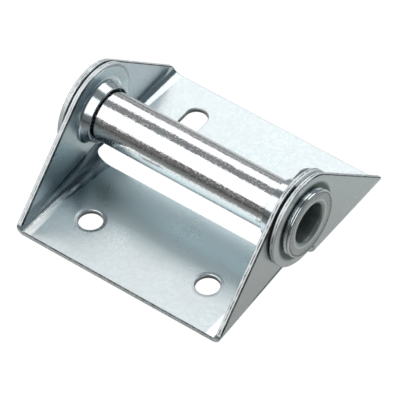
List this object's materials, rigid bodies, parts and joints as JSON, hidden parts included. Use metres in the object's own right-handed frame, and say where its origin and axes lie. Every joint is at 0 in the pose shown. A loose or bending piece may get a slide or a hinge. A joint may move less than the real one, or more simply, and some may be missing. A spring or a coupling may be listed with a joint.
{
  "type": "garage door hinge",
  "caption": "Pressed-steel sectional door hinge: folded leaves with round-ended ears turn about a bright flared tube that also guides the stem of a track roller.",
  "frame": {"origin": "centre of the pivot, on the roller tube's axis, midway between the ears", "axes": "+X along the tube, +Y towards the outer leaf with the slots, +Z away from the door; the mounting face of both leaves is at z = -18.75 mm"},
  "size_m": [0.0782, 0.073, 0.0331],
  "materials": {
    "leaf_zinc": "bright zinc plate, satin, faint blue",
    "tube_bright": "bright plated, near mirror"
  },
  "bodies": {
    "outer": {"outer_leaf": "leaf_zinc", "roller_tube": "tube_bright"},
    "inner": {"inner_leaf": "leaf_zinc"}
  },
  "joints": [
    {"name": "leaf_fold", "type": "hinge", "parent": "outer", "child": "inner", "pos_m": [0, 0, 0], "axis": [-1, 0, 0], "range_deg": [-20, 225]}
  ]
}
